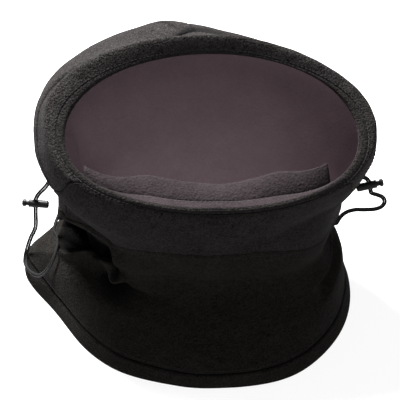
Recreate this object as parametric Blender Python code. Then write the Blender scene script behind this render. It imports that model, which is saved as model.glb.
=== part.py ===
"""Double-layer fleece hood and neck gaiter with two drawcord locks.

Metres, +Z up.  The front of the hood faces -Y, the wearer's left side is +X.
The fabric stands on its hem, which is flat on z = 0.
"""
import math

import bmesh
import bpy
import numpy as np
from mathutils import Matrix, Vector

for _object in list(bpy.data.objects):
    bpy.data.objects.remove(_object, do_unlink=True)

MM = 0.001

# ---------------------------------------------------------------- fabric sizes
SHELL = 2.0            # outer fleece, thickness
LINING = 2.0           # inner fleece, thickness
GAP = 0.3              # clearance between neighbouring pieces
SEAM_GAP = 0.35        # width of the open line along each seam
LINING_SEAM = 1.0      # the same between pieces of the lining
LOFT = 1.4             # air between the two layers of fleece
DOUBLE = SHELL + LOFT + LINING
COLUMNS = 40           # steps round the object
HEM_V = 0.058          # top of the turned-up hem
CHANNEL_V = 0.955      # start of the cord channel at the face opening
CROWN_V = 0.74         # seam between crown panels and brim
NAPE_V = 0.41          # seam between the back of the neck and the hood
BIB_SIDE = 63.0        # degrees either side of the front
MASK_SIDE = 72.0
LIP_DEPTH = 13.0       # how far the mask's rolled top edge reaches inwards

# Each loop runs once round the object, from the hem up to the face opening:
# height on the panel, middle x, left x, right x, widest y, front y, back y,
# twist, z at front, back, left and right, and the roundness of its four
# quarters (front right, back right, back left, front left).
LOOPS = (
    (0.00,  4, -151, 127,  18, -119, 104, -.07,   0,   0,   0,   0, (2.1, 2.2, 1.95, 1.72)),
    (0.06,  4, -142, 121,  16, -120, 101, -.07,  15,  16,  16,  16, (2.1, 2.2, 2.0, 1.72)),
    (0.16,  4, -129, 117,  12, -104,  96, -.06,  40,  45,  38,  40, (2.2, 2.2, 2.2, 1.8)),
    (0.24,  4, -118, 110,  10,  -87,  92, -.05,  60,  70,  52,  56, (2.3, 2.2, 2.2, 1.9)),
    (0.30,  4, -108, 104,   8,  -82,  90, -.04,  73,  88,  68,  67, (2.3, 2.2, 2.2, 2.0)),
    (0.36,  4, -113, 105,   4,  -86,  92, -.03,  84, 106,  84,  80, (2.3, 2.2, 2.2, 2.0)),
    (0.44,  5, -112, 109,   2,  -90, 104, -.02,  93, 138, 106, 100, (2.1, 2.2, 2.2, 1.9)),
    (0.54,  6, -117, 119,   0,  -92, 106, -.01, 101, 170, 128, 122, (1.9, 2.2, 2.6, 1.9)),
    (0.64,  7, -125, 131,  -4,  -92,  80,  .00, 106, 199, 148, 142, (1.85, 1.95, 2.7, 1.9)),
    (0.74,  8, -125, 133, -14,  -92,  31,  .00, 112, 217, 163, 156, (1.8, 2.1, 2.5, 2.0)),
    (0.82,  9, -122, 131, -26,  -93,  16,  .00, 122, 226, 172, 166, (1.85, 2.1, 2.3, 2.05)),
    (0.90, 10, -115, 128, -38,  -94,   4,  .00, 136, 229, 181, 176, (2.0, 2.1, 2.2, 2.1)),
    (0.96, 10, -104, 121, -44,  -92,   0,  .00, 144, 223, 182, 178, (2.1, 2.1, 2.1, 2.1)),
    (1.00, 10,  -98, 115, -46,  -90,   0,  .00, 145, 218, 178, 176, (2.1, 2.1, 2.1, 2.1)),
)

# Where the fabric slouches, folds or bulges: direction in degrees, height on
# the panel, spread of each, and the shift in millimetres.
FOLDS = (
    (218, .65, 26, .09, (-9, 3, 4)),      # crown slouches to the back left
    (192, .62, 16, .08, (-4, 0, 5)),
    (150, .64, 24, .09, (0, 0, -4)),
    (50, .70, 20, .13, (-9, 3, 0)),       # cheek tucks in on the right
    (291, .00, 12, .10, (6, 1, 0)),       # flare of the hem
    (306, .00, 15, .12, (4, 3, 0)),
    (333, .00, 13, .12, (-4, -4, 0)),
    (285, .30, 30, .055, (9, 3, 0)),      # deep fold at the left of the neck
    (308, .345, 18, .05, (-3, -4, -8)),
    (316, .27, 18, .05, (0, 0, -8)),
    (276, .20, 22, .05, (-4, 0, -3)),
    (82, .28, 16, .05, (-5, 0, 0)),       # shallow fold at the right
)

# The origin of the object is under the middle of the fabric.
ORIGIN = (-8.93, -6.11, 0.0)

HEIGHTS = np.array([row[0] for row in LOOPS])
ROWS = (.03, .10, .14, .18, .215, .25, .28, .31, .345, .38, .41, .46, .51, .57, .63,
        .69, .74, .80, .86, .91)


def loop_points(row, angle):
    _, xm, xl, xr, ys, yf, yb, twist, zf, zb, zl, zr, round_ = row
    s, c = np.sin(angle), np.cos(angle)
    a = np.where(s >= 0, xr - xm, xm - xl)
    b = np.where(c >= 0, ys - yf, yb - ys)
    q = np.where(s >= 0, np.where(c >= 0, round_[0], round_[1]),
                 np.where(c >= 0, round_[3], round_[2]))
    r = ((np.abs(s) / a) ** q + (np.abs(c) / b) ** q) ** (-1 / q)
    x, y = xm + r * s, ys - r * c
    plane = zf + (zb - zf) * (y - yf) / (yb - yf)
    at_side = zf + (zb - zf) * (ys - yf) / (yb - yf)
    side = np.clip(np.abs(x - xm) / a, 0, 1) ** 2
    z = plane + side * (np.where(s >= 0, zr, zl) - at_side)
    return np.stack([x, y + twist * (x - xm), z], -1)


def surface(angle, height):
    """Outer surface of the shell at arrays of direction (degrees) and height."""
    angle, height = np.broadcast_arrays(np.asarray(angle, float),
                                        np.asarray(height, float))
    rad = np.radians(angle)
    rings = np.array([loop_points(row, rad) for row in LOOPS])
    slope = np.zeros_like(rings)
    n = len(HEIGHTS)
    for i in range(n):
        lo, hi = max(i - 1, 0), min(i + 1, n - 1)
        if lo == i or hi == i:
            slope[i] = (rings[hi] - rings[lo]) / (HEIGHTS[hi] - HEIGHTS[lo])
        else:
            h0, h1 = HEIGHTS[i] - HEIGHTS[lo], HEIGHTS[hi] - HEIGHTS[i]
            slope[i] = ((rings[i] - rings[lo]) / h0 * h1
                        + (rings[hi] - rings[i]) / h1 * h0) / (h0 + h1)
    k = np.clip(np.searchsorted(HEIGHTS, height, "right") - 1, 0, n - 2)
    span = HEIGHTS[k + 1] - HEIGHTS[k]
    u = ((height - HEIGHTS[k]) / span)[..., None]
    h = span[..., None]

    def pick(table, index):
        return np.take_along_axis(table, index[None, ..., None], 0)[0]

    p0, p1, m0, m1 = pick(rings, k), pick(rings, k + 1), pick(slope, k), pick(slope, k + 1)
    out = ((2 * u ** 3 - 3 * u ** 2 + 1) * p0 + (u ** 3 - 2 * u ** 2 + u) * h * m0
           + (3 * u ** 2 - 2 * u ** 3) * p1 + (u ** 3 - u ** 2) * h * m1)
    for at, up, wide, tall, shift in FOLDS:
        turn = (angle - at + 180) % 360 - 180
        w = np.exp(-(turn / wide) ** 2 - ((height - up) / tall) ** 2)
        out = out + w[..., None] * np.array(shift, float)
    out[..., 2] = np.where(height <= 1e-9, 0.0, out[..., 2])
    return out


def frame_at(angle, height):
    """Outward normal, and millimetres per degree and per unit of height."""
    along = (surface(angle + 0.5, height) - surface(angle - 0.5, height))
    hi = np.minimum(height + 0.004, 1.0)
    lo = np.maximum(height - 0.004, 0.0)
    up = (surface(angle, hi) - surface(angle, lo)) / (hi - lo)[..., None]
    normal = np.cross(along, up)
    normal /= np.linalg.norm(normal, axis=-1, keepdims=True)
    return normal, np.linalg.norm(along, axis=-1), np.linalg.norm(up, axis=-1)


def offset_surface(angle, height, depth):
    angle, height = np.broadcast_arrays(np.asarray(angle, float),
                                        np.asarray(height, float))
    normal, _, _ = frame_at(angle, height)
    out = surface(angle, height) - normal * np.broadcast_to(depth, angle.shape)[..., None]
    out[..., 2] = np.where(height <= 1e-9, 0.0, out[..., 2])
    return out


def ramp(x, lo, hi):
    t = np.clip((x - lo) / (hi - lo), 0, 1)
    return t * t * (3 - 2 * t)


def lip_reach(angle):
    """How much deeper the rolled edge is at the mask than round the brim."""
    turn = np.abs((np.asarray(angle, float) + 180) % 360 - 180)
    return (LIP_DEPTH - DOUBLE - 1.0) * (1 - ramp(turn, 45, 85))


# ------------------------------------------------------------------- materials
def material(name, colour, roughness, metallic=0.0):
    mat = bpy.data.materials.new(name)
    mat.use_nodes = True
    shader = mat.node_tree.nodes["Principled BSDF"]
    shader.inputs["Base Color"].default_value = (*colour, 1.0)
    shader.inputs["Roughness"].default_value = roughness
    shader.inputs["Metallic"].default_value = metallic
    mat.diffuse_color = (*colour, 1.0)
    return mat


def add(name, verts, faces, colour, roughness=0.9, metallic=0.0, smooth=True):
    mesh = bpy.data.meshes.new(name)
    mesh.from_pydata([tuple(float(c) * MM for c in v) for v in verts], [], faces)
    mesh.update()
    if smooth:
        mesh.polygons.foreach_set("use_smooth", [True] * len(mesh.polygons))
        mesh.set_sharp_from_angle(angle=math.radians(50))
    obj = bpy.data.objects.new(name, mesh)
    bpy.context.scene.collection.objects.link(obj)
    mesh.materials.append(material("mat_" + name, colour, roughness, metallic))
    return obj


# ---------------------------------------------------------------- fabric panels
def solid_between(name, outer, inner, closed, colour):
    """A closed solid between two grids of rows x columns; closed joins the
    last column to the first."""
    rows, cols = outer.shape[:2]
    verts = list(outer.reshape(-1, 3)) + list(inner.reshape(-1, 3))
    base = rows * cols

    def o(j, i):
        return j * cols + i % cols

    faces = []
    last = cols if closed else cols - 1
    for j in range(rows - 1):
        for i in range(last):
            a, b, c, d = o(j, i), o(j, i + 1), o(j + 1, i + 1), o(j + 1, i)
            faces += [(a, b, c), (a, c, d)]
            faces += [(base + c, base + b, base + a), (base + d, base + c, base + a)]
    for i in range(last):
        faces.append((o(0, i + 1), o(0, i), base + o(0, i), base + o(0, i + 1)))
        faces.append((o(rows - 1, i), o(rows - 1, i + 1),
                      base + o(rows - 1, i + 1), base + o(rows - 1, i)))
    if not closed:
        for j in range(rows - 1):
            faces.append((o(j, 0), o(j + 1, 0), base + o(j + 1, 0), base + o(j, 0)))
            faces.append((o(j + 1, cols - 1), o(j, cols - 1),
                          base + o(j, cols - 1), base + o(j + 1, cols - 1)))
    return add(name, verts, faces, colour)


def columns_between(start, stop):
    """Shared column directions from start to stop, with the ends themselves."""
    step = 360.0 / COLUMNS
    first = math.ceil(start / step + 0.3)
    last = math.floor(stop / step - 0.3)
    return np.array([start] + [k * step for k in range(first, last + 1)] + [stop])


def panel(name, start, stop, low, high, depth0, depth1, colour,
          trim_low=True, trim_high=True, seam=SEAM_GAP):
    """A panel from start to stop degrees.  low and high give the height of its
    two ends in each direction.  Between them it uses the shared rows, so that
    the two layers of fleece lie parallel, and it eases to an end that slopes."""
    closed = stop - start >= 359.9
    if closed:
        cols = np.arange(COLUMNS) * 360.0 / COLUMNS
    else:
        cols = columns_between(start, stop)
        mid = np.full(2, 0.5 * (np.mean(low(cols)) + np.mean(high(cols))))
        _, per_degree, _ = frame_at(np.array([start, stop], float), mid)
        cols[0] += seam / 2 / per_degree[0]
        cols[-1] -= seam / 2 / per_degree[-1]
    v0, v1 = low(cols), high(cols)
    if trim_low:
        v0 = v0 + seam / 2 / frame_at(cols, v0)[2]
    if trim_high:
        v1 = v1 - seam / 2 / frame_at(cols, v1)[2]
    shared = [r for r in ROWS if v0.max() + 0.012 < r < v1.min() - 0.012]
    v = [v0]
    if np.ptp(v0) > 0.02:
        v += [v0 + (shared[0] - v0) * k / 3 for k in (1, 2)]
    v += [np.full(len(cols), r) for r in shared]
    if np.ptp(v1) > 0.02:
        v += [shared[-1] + (v1 - shared[-1]) * k / 3 for k in (1, 2)]
    v = np.array(v + [v1])
    a = np.broadcast_to(cols[None], v.shape)
    d0 = depth0(a, v) if callable(depth0) else np.full(v.shape, float(depth0))
    d1 = depth1(a, v) if callable(depth1) else np.full(v.shape, float(depth1))
    return solid_between(name, offset_surface(a, v, d0), offset_surface(a, v, d1),
                         closed, colour)


def level(value):
    return lambda angle: np.full(np.shape(angle), float(value))


def chin_seam(angle):
    """Height of the seam between the bib and the mask."""
    turn = np.abs((np.asarray(angle, float) + 180) % 360 - 180)
    return 0.62 - 0.21 * ramp(turn, 5, 62)


BLACK = (0.045, 0.043, 0.045)
GREY = (0.30, 0.26, 0.27)
PALE = (0.42, 0.38, 0.39)

panel("hem_band", 0, 360, level(0), level(HEM_V), 0.0, DOUBLE, BLACK,
      trim_low=False)
panel("bib_front", -BIB_SIDE, BIB_SIDE, level(HEM_V), chin_seam, 0.0, SHELL, BLACK)
panel("neck_back", BIB_SIDE, 360 - BIB_SIDE, level(HEM_V), level(NAPE_V), 0.0, SHELL, BLACK)


def brim_foot(angle):
    """Lower end of the brim: the crown seam, dipping to the mask's corners."""
    turn = np.abs((np.asarray(angle, float) + 180) % 360 - 180)
    return CROWN_V + 0.0 * turn


def mask_foot(angle):
    turn = np.abs((np.asarray(angle, float) + 180) % 360 - 180)
    return np.where(turn <= BIB_SIDE, chin_seam(angle), NAPE_V)


panel("mask_front", -MASK_SIDE, MASK_SIDE, mask_foot, level(CHANNEL_V), 0.0, SHELL, BLACK)
panel("crown_left", 180, 360 - MASK_SIDE, level(NAPE_V), level(CROWN_V),
      0.0, SHELL, BLACK)
panel("crown_right", MASK_SIDE, 180, level(NAPE_V), level(CROWN_V),
      0.0, SHELL, BLACK)
panel("brim_band", MASK_SIDE, 360 - MASK_SIDE, level(CROWN_V), level(CHANNEL_V),
      0.0, SHELL, BLACK)


def lining_out(angle, v):
    return SHELL + LOFT + lip_reach(angle) * ramp(v, 0.74, 0.94)


def lining_in(angle, v):
    return lining_out(angle, v) + LINING


def lining_top(angle):
    """The lining stops short of the channel, further where the edge is deep."""
    v = np.full(np.shape(angle), CHANNEL_V)
    return v - (1.0 + 0.55 * lip_reach(angle)) / frame_at(angle, v)[2]


panel("lining_neck", 0, 360, level(HEM_V), level(NAPE_V), lining_out, lining_in, GREY,
      seam=LINING_SEAM)
panel("lining_mask", -MASK_SIDE, MASK_SIDE, level(NAPE_V), lining_top,
      lining_out, lining_in, GREY, seam=LINING_SEAM)
panel("lining_hood", MASK_SIDE, 360 - MASK_SIDE, level(NAPE_V), lining_top,
      lining_out, lining_in, GREY, seam=LINING_SEAM)


# ---------------------------------------- rolled edge of the face opening, cord
CHANNEL_WALL = 1.5
DRAWCORD_R = 1.1


def edge_frame(angle):
    """Start of the channel, its direction to the edge, and the normal."""
    v = np.full(np.shape(angle), CHANNEL_V)
    v = v + SEAM_GAP / 2 / frame_at(angle, v)[2]
    foot = surface(angle, v)
    tip = surface(angle, np.full(np.shape(angle), 1.0))
    normal, _, _ = frame_at(angle, v)
    reach = tip - foot
    along = reach - (reach * normal).sum(-1, keepdims=True) * normal
    size = np.linalg.norm(along, axis=-1)
    return foot, along / size[:, None], normal, size


def channel():
    cols = np.arange(COLUMNS) * 360.0 / COLUMNS
    foot, along, normal, size = edge_frame(cols)
    deep = DOUBLE + lip_reach(cols)
    wall = CHANNEL_WALL
    swell = 0.7
    # outline across the channel: (share of the length, depth, shift in mm)
    def section(k):
        L, D = size[k] + 2.0, deep[k]
        outer = [(0, 0), (.35 * L, -swell), (.75 * L, -swell * .6), (L - .4, .9),
                 (L, D / 2), (L - .4, D - .9), (.75 * L, D + swell * .6),
                 (.35 * L, D + swell), (0, D)]
        inner = [(0, D - wall), (.35 * L, D - wall + swell), (L - wall - 1.0, D - wall),
                 (L - wall, D / 2), (L - wall - 1.0, wall), (.35 * L, wall - swell),
                 (0, wall)]
        return outer + inner
    ring = []
    for k in range(COLUMNS):
        ring.append([foot[k] + along[k] * s - normal[k] * d for s, d in section(k)])
    m = len(ring[0])
    verts = [p for r in ring for p in r]
    faces = []
    for k in range(COLUMNS):
        n = (k + 1) % COLUMNS
        for i in range(m):
            j = (i + 1) % m
            faces.append((k * m + i, n * m + i, n * m + j, k * m + j))
    return add("face_channel", verts, faces, BLACK)


channel()


def tube_ring(name, centres, radius, sides, colour, roughness):
    """A closed ring of round cord through the given centres."""
    n = len(centres)
    verts, faces = [], []
    for k in range(n):
        t = centres[(k + 1) % n] - centres[k - 1]
        t /= np.linalg.norm(t)
        u = np.cross(t, [0, 0, 1.0])
        u /= np.linalg.norm(u)
        w = np.cross(t, u)
        for i in range(sides):
            a = 2 * math.pi * i / sides
            verts.append(centres[k] + radius * (math.cos(a) * u + math.sin(a) * w))
    for k in range(n):
        m = (k + 1) % n
        for i in range(sides):
            j = (i + 1) % sides
            faces.append((k * sides + i, k * sides + j, m * sides + j, m * sides + i))
    return add(name, verts, faces, colour, roughness)


_cols = np.arange(COLUMNS) * 360.0 / COLUMNS
_foot, _along, _normal, _size = edge_frame(_cols)
_deep = DOUBLE + lip_reach(_cols)
tube_ring("drawcord_hidden",
          _foot + _along * (_size * 0.45)[:, None] - _normal * (_deep / 2)[:, None],
          DRAWCORD_R * 0.8, 6, (0.06, 0.06, 0.065), 0.7)


# ------------------------------------------------- pale facing inside the mask
FLAP_SIDE_LEFT, FLAP_SIDE_RIGHT = -74.0, 66.0
FLAP_WIDE, FLAP_RISE = 15.0, 5.0


def flap():
    cols = columns_between(FLAP_SIDE_LEFT, FLAP_SIDE_RIGHT)
    foot, along, normal, size = edge_frame(cols)
    deep = DOUBLE + lip_reach(cols)
    start = foot + along * (size * 0.55)[:, None] - normal * (deep + 1.4)[:, None]
    end_in = FLAP_WIDE * (1 - 0.35 * ramp(np.abs(cols), 45, 75))
    stop = start - normal * end_in[:, None] + np.array([0, 0, FLAP_RISE])
    t = np.linspace(0, 1, 3)[:, None, None]
    top = start[None] + (stop - start)[None] * t
    top[1, :, 2] += 0.8
    down = np.array([0, 0, -1.8])
    return solid_between("inner_flap", top, top + down, False, PALE)


flap()


# ------------------------------------------------------------ cords and locks
CORD_D = 1.8           # elastic drawcord
CORD_STEP = 5.0        # spacing of the points along it
PAIR = 1.06            # each strand lies this far from the middle of the pair
EYELET_IN, EYELET_OUT, EYELET_THICK = 2.7, 4.6, 1.2
TAB_WIDE, TAB_TALL, TAB_OUT = 7.5, 5.0, 3.6
BODY_R, BODY_BORE, STEM_R, KNOB_R = 3.2, 2.25, 2.10, 3.0
BODY_FAR, BODY_MOUTH = -11.0, 5.6      # ends of the lock body along the barrel
BORE_END = -9.2                        # bottom of the body's blind bore
STEM_END, KNOB_BASE, KNOB_TIP = -5.2, 7.8, 11.0
SLOT_HALF = 2.35                       # half the cord slot, along the barrel
SLOT_WIDE = 2.6                        # the slot, across the barrel
PRESS = 2.0                            # travel of the plunger
SPRING_R, WIRE_R, SPRING_TURNS = 1.45, 0.24, 4.0

CORD_DARK = (0.07, 0.07, 0.075)
LOCK_BLACK = (0.03, 0.03, 0.032)
STEEL = (0.55, 0.56, 0.58)


def unit(v):
    v = np.asarray(v, float)
    return v / np.linalg.norm(v)


def foot_at(direction, height):
    """Point on the fabric there, with its outward normal."""
    a, v = np.array([float(direction)]), np.array([float(height)])
    return surface(a, v)[0], frame_at(a, v)[0][0]


def smooth_route(points, step):
    """Centripetal curve through the points, resampled to even steps."""
    p = [np.asarray(q, float) for q in points]
    p = [2 * p[0] - p[1]] + p + [2 * p[-1] - p[-2]]
    dense = []
    for i in range(1, len(p) - 2):
        a, b, c, d = p[i - 1:i + 3]
        t0 = 0.0
        t1 = t0 + math.sqrt(np.linalg.norm(b - a))
        t2 = t1 + math.sqrt(np.linalg.norm(c - b))
        t3 = t2 + math.sqrt(np.linalg.norm(d - c))
        for t in np.linspace(t1, t2, 25)[:-1]:
            a1 = (t1 - t) / (t1 - t0) * a + (t - t0) / (t1 - t0) * b
            a2 = (t2 - t) / (t2 - t1) * b + (t - t1) / (t2 - t1) * c
            a3 = (t3 - t) / (t3 - t2) * c + (t - t2) / (t3 - t2) * d
            b1 = (t2 - t) / (t2 - t0) * a1 + (t - t0) / (t2 - t0) * a2
            b2 = (t3 - t) / (t3 - t1) * a2 + (t - t1) / (t3 - t1) * a3
            dense.append((t2 - t) / (t2 - t1) * b1 + (t - t1) / (t2 - t1) * b2)
    dense.append(p[-2])
    dense = np.array(dense)
    along = np.concatenate([[0], np.cumsum(np.linalg.norm(np.diff(dense, axis=0), axis=1))])
    n = max(int(round(along[-1] / step)), 6)
    at = np.linspace(0, along[-1], n + 1)
    return np.stack([np.interp(at, along, dense[:, k]) for k in range(3)], -1)


def strand(points, facing, side):
    """One strand of the pair: the middle line moved sideways.  facing holds
    (share of the length, direction that the pair's flat side faces)."""
    n = len(points)
    at = np.linspace(0, 1, n)
    shares = [f[0] for f in facing]
    face = np.stack([np.interp(at, shares, [f[1][k] for f in facing]) for k in range(3)], -1)
    tangent = np.gradient(points, axis=0)
    across = np.cross(face, tangent)
    across /= np.linalg.norm(across, axis=1, keepdims=True)
    return points + across * side * PAIR


def cord(name, points):
    data = bpy.data.curves.new(name, "CURVE")
    data.dimensions = "3D"
    data.bevel_depth = CORD_D / 2 * MM
    data.bevel_resolution = 2
    data.use_fill_caps = True
    line = data.splines.new("POLY")
    line.points.add(len(points) - 1)
    for i, q in enumerate(points):
        line.points[i].co = (*(float(c) * MM for c in q), 1.0)
    line.use_smooth = True
    data.materials.append(material("mat_" + name, CORD_DARK, 0.7))
    obj = bpy.data.objects.new(name, data)
    bpy.context.scene.collection.objects.link(obj)
    return obj


def lathe(name, profile, steps, colour, roughness, metallic=0.0, place=None):
    """Turns (x, radius) points about the local X axis.  A profile that starts
    and ends on the axis is closed there; any other closes on itself."""
    on_axis = profile[0][1] == 0 and profile[-1][1] == 0
    verts, faces, rows = [], [], []
    for x, r in profile:
        if r == 0:
            verts.append((x, 0, 0))
            rows.append([len(verts) - 1])
            continue
        first = len(verts)
        for k in range(steps):
            a = 2 * math.pi * k / steps
            verts.append((x, r * math.cos(a), r * math.sin(a)))
        rows.append(list(range(first, first + steps)))
    pairs = list(zip(rows, rows[1:])) + ([] if on_axis else [(rows[-1], rows[0])])
    for lo, hi in pairs:
        for k in range(steps):
            m = (k + 1) % steps
            if len(lo) == 1:
                faces.append((lo[0], hi[m], hi[k]))
            elif len(hi) == 1:
                faces.append((lo[k], lo[m], hi[0]))
            else:
                faces.append((lo[k], lo[m], hi[m], hi[k]))
    obj = add(name, verts, faces, colour, roughness, metallic)
    bm = bmesh.new()
    bm.from_mesh(obj.data)
    bmesh.ops.recalc_face_normals(bm, faces=bm.faces)
    bm.to_mesh(obj.data)
    bm.free()
    if place is not None:
        obj.matrix_world = place
    return obj


def box(name, low, high, colour, place, chamfer=0.0):
    verts = [(x, y, z) for x in (low[0], high[0]) for y in (low[1], high[1])
             for z in (low[2], high[2])]
    faces = [(0, 1, 3, 2), (4, 6, 7, 5), (0, 4, 5, 1), (2, 3, 7, 6), (0, 2, 6, 4), (1, 5, 7, 3)]
    obj = add(name, verts, faces, colour, 0.9, smooth=False)
    obj.matrix_world = place
    if chamfer:
        bevel = obj.modifiers.new("soft_edges", "BEVEL")
        bevel.width = chamfer * MM
        bevel.segments = 2
        bevel.limit_method = "NONE"
    return obj


def slot(obj, cutter):
    cutter.hide_render = True
    cutter.display_type = "WIRE"
    cut = obj.modifiers.new("slot", "BOOLEAN")
    cut.operation = "DIFFERENCE"
    cut.solver = "EXACT"
    cut.object = cutter


def place_at(origin, x_axis, z_axis):
    x = unit(x_axis)
    y = unit(np.cross(z_axis, x))
    z = np.cross(x, y)
    m = Matrix.Identity(4)
    for row in range(3):
        m[row][0], m[row][1], m[row][2] = float(x[row]), float(y[row]), float(z[row])
        m[row][3] = float(origin[row]) * MM
    return m


def open_tube(name, points, radius, sides, colour, place, metallic=0.0):
    points = np.asarray(points, float)
    tangent = np.gradient(points, axis=0)
    verts, faces = [], []
    for k, q in enumerate(points):
        t = unit(tangent[k])
        u = unit(np.cross(t, [1.0, 0.02, 0.0]))
        w = np.cross(t, u)
        for i in range(sides):
            a = 2 * math.pi * i / sides
            verts.append(q + radius * (math.cos(a) * u + math.sin(a) * w))
    for k in range(len(points) - 1):
        for i in range(sides):
            j = (i + 1) % sides
            faces.append((k * sides + i, k * sides + j, (k + 1) * sides + j, (k + 1) * sides + i))
    faces.append(tuple(reversed(range(sides))))
    last = (len(points) - 1) * sides
    faces.append(tuple(last + i for i in range(sides)))
    obj = add(name, verts, faces, colour, 0.35, metallic)
    obj.matrix_world = place
    return obj


def cord_lock(side, centre, knob_way, cord_up):
    """Barrel lock: body with a blind bore, sprung plunger, slot for the pair."""
    place = place_at(centre, knob_way, cord_up)
    body = lathe("lock_" + side + "_body", [
        (BORE_END, 0), (BORE_END, BODY_BORE), (BODY_MOUTH - 0.3, BODY_BORE),
        (BODY_MOUTH, BODY_BORE + 0.25), (BODY_MOUTH, BODY_R - 0.35),
        (BODY_MOUTH - 0.35, BODY_R), (BODY_FAR + 1.6, BODY_R),
        (BODY_FAR + 0.7, BODY_R - 0.45), (BODY_FAR + 0.15, BODY_R - 1.4),
        (BODY_FAR, 0)], 20, LOCK_BLACK, 0.35, place=place)
    slot(body, box("cut_" + side + "_body", (-SLOT_HALF, -SLOT_WIDE / 2, -6),
                   (SLOT_HALF, SLOT_WIDE / 2, 6), LOCK_BLACK, place))
    plunger = lathe("lock_" + side + "_plunger", [
        (STEM_END, 0), (STEM_END, STEM_R), (KNOB_BASE, STEM_R), (KNOB_BASE, KNOB_R - 0.3),
        (KNOB_BASE + 0.35, KNOB_R), (KNOB_TIP - 1.0, KNOB_R), (KNOB_TIP - 0.3, KNOB_R - 0.7),
        (KNOB_TIP, KNOB_R - 1.5), (KNOB_TIP, 0)], 20, LOCK_BLACK, 0.35, place=place)
    slot(plunger, box("cut_" + side + "_plunger", (-SLOT_HALF, -SLOT_WIDE / 2, -6),
                      (SLOT_HALF + PRESS, SLOT_WIDE / 2, 6), LOCK_BLACK, place))
    steps = int(SPRING_TURNS * 9)
    lo, hi = BORE_END + WIRE_R + 0.12, STEM_END - WIRE_R - 0.12
    helix = [(lo + (hi - lo) * k / steps,
              SPRING_R * math.cos(2 * math.pi * SPRING_TURNS * k / steps),
              SPRING_R * math.sin(2 * math.pi * SPRING_TURNS * k / steps))
             for k in range(steps + 1)]
    open_tube("lock_" + side + "_spring", helix, WIRE_R, 5, STEEL, place, 0.9)


def eyelet(side, foot, normal):
    start = foot + normal * 0.55
    place = place_at(start, normal, (0, 0, 1))
    lathe("eyelet_" + side, [
        (0, EYELET_IN), (0, EYELET_OUT), (EYELET_THICK * .55, EYELET_OUT - .15),
        (EYELET_THICK, EYELET_OUT - .9), (EYELET_THICK, EYELET_IN + .6),
        (EYELET_THICK * .55, EYELET_IN)], 16, STEEL, 0.3, 0.9, place)


def tab(side, foot, normal):
    place = place_at(foot + normal * 1.4, normal, (0, 0, 1))
    box("cord_tab_" + side, (0, -TAB_WIDE / 2, -TAB_TALL / 2),
        (TAB_OUT, TAB_WIDE / 2, TAB_TALL / 2), BLACK, place, 0.5)


def side_cords(side, exit_at, tab_at, before, lock, knob_way, cord_down, straight, after,
               facing):
    """Eyelet, a pair of strands through the lock, and the tab they end in."""
    foot, normal = foot_at(*exit_at)
    eyelet(side, foot, normal)
    end, out = foot_at(*tab_at)
    tab(side, end, out)
    down = unit(cord_down)
    knob = np.asarray(knob_way, float)
    knob = unit(knob - down * (knob @ down))
    lock = np.asarray(lock, float)
    cord_lock(side, lock, knob, -down)
    tip = end + out * (1.4 + TAB_OUT + 2 * GAP)
    points = ([foot + normal * GAP, foot + normal * 4.0] + list(before)
              + [lock - down * straight[0], lock - down * straight[0] * 0.4,
                 lock + down * straight[1] * 0.4, lock + down * straight[1]]
              + list(after) + [tip + out * 3.5, tip])
    middle = smooth_route(points, CORD_STEP)
    for letter, way in (("a", 1), ("b", -1)):
        cord("cord_" + side + "_" + letter, strand(middle, facing, way))
    return middle


left_line = side_cords(
    "left", (269.0, 0.46), (266.0, 0.285),
    before=[(-123.5, 9.5, 97.0), (-130.5, 12.5, 87.5)],
    lock=(-134.5, 15.0, 76.0), knob_way=(-1, 0, 0), cord_down=(-0.10, 0.10, -0.99),
    straight=(4.5, 26.0),
    after=[(-142.5, 20.5, 37.0), (-147.5, 22.5, 22.0), (-149.0, 17.0, 14.5),
           (-144.5, 6.0, 13.5), (-136.0, -6.0, 17.5), (-128.5, -15.0, 27.0),
           (-121.5, -19.5, 39.0), (-117.0, -15.5, 49.0), (-115.8, -7.0, 55.5),
           (-119.5, 2.0, 59.0)],
    facing=[(0.0, (0.1, 0.2, 1)), (0.14, (0, -1, 0)), (0.50, (0, -1, 0)),
            (0.66, (-.7, -.5, .5)), (0.85, (-.9, -.4, .1)), (1.0, (-.4, -.1, 1))])

right_line = side_cords(
    "right", (88.0, 0.455), (88.0, 0.31),
    before=[(120.5, 1.0, 108.5), (127.0, 0.0, 112.0)],
    lock=(134.6, 0.0, 104.3), knob_way=(1, 0, 0.28), cord_down=(0.272, 0, -0.962),
    straight=(5.4, 8.0),
    after=[(141.5, 0.0, 94.5), (147.0, 0.0, 91.0), (147.5, 0.0, 84.5), (142.0, 0.0, 80.0),
           (133.0, 0.0, 78.5), (124.0, 0.0, 78.5)],
    facing=[(0.0, (0.1, 0.2, 1)), (0.2, (0, -1, 0)), (0.8, (0, -1, 0)), (1.0, (0, -1, 0))])


# The tables above are drawn about the middle of the neck.
bpy.context.view_layer.update()
_shift = Matrix.Translation(Vector([-c * MM for c in ORIGIN]))
for _object in list(bpy.context.scene.objects):
    _object.matrix_world = _shift @ _object.matrix_world
bpy.context.view_layer.update()
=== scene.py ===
import math

import bmesh
import bpy
import numpy as np
from mathutils import Matrix, Vector


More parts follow.
